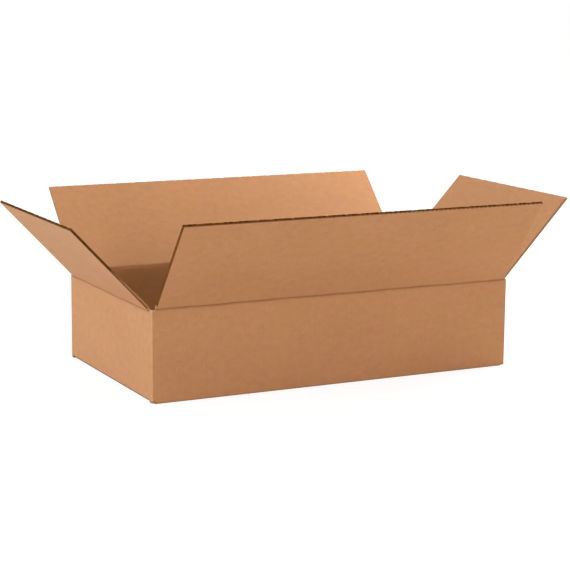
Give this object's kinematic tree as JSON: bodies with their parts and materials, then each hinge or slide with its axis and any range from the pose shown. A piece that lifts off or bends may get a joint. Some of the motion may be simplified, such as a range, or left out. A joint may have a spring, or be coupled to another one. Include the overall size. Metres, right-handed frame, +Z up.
{
  "type": "open cardboard box",
  "caption": "Low corrugated cardboard carton standing open, with hinged top flaps leaning outward, shut bottom flaps and a glued corner lap; holds and ships goods.",
  "frame": {"origin": "middle of the face that the carton stands on", "axes": "+X along the long side, to the right seen from the front; +Y from front to back; +Z up"},
  "size_m": [0.8588, 0.5663, 0.2816],
  "materials": {
    "kraft_board": "matte"
  },
  "bodies": {
    "carton": {"carton_body": "kraft_board"},
    "front_top": {"front_flap": "kraft_board"},
    "back_top": {"back_flap": "kraft_board"},
    "left_top": {"left_flap": "kraft_board"},
    "right_top": {"right_flap": "kraft_board"}
  },
  "joints": [
    {"name": "front_flap_fold", "type": "hinge", "parent": "carton", "child": "front_top", "pos_m": [0, -0.17208, 0.1425], "axis": [1, 0, 0], "range_deg": [-127, 108]},
    {"name": "back_flap_fold", "type": "hinge", "parent": "carton", "child": "back_top", "pos_m": [0, 0.17208, 0.1425], "axis": [-1, 0, 0], "range_deg": [-134, 101]},
    {"name": "left_flap_fold", "type": "hinge", "parent": "carton", "child": "left_top", "pos_m": [-0.3086, 0, 0.1384], "axis": [0, -1, 0], "range_deg": [-133.5, 96.5]},
    {"name": "right_flap_fold", "type": "hinge", "parent": "carton", "child": "right_top", "pos_m": [0.3086, 0, 0.1384], "axis": [0, 1, 0], "range_deg": [-133.5, 96.5]}
  ]
}
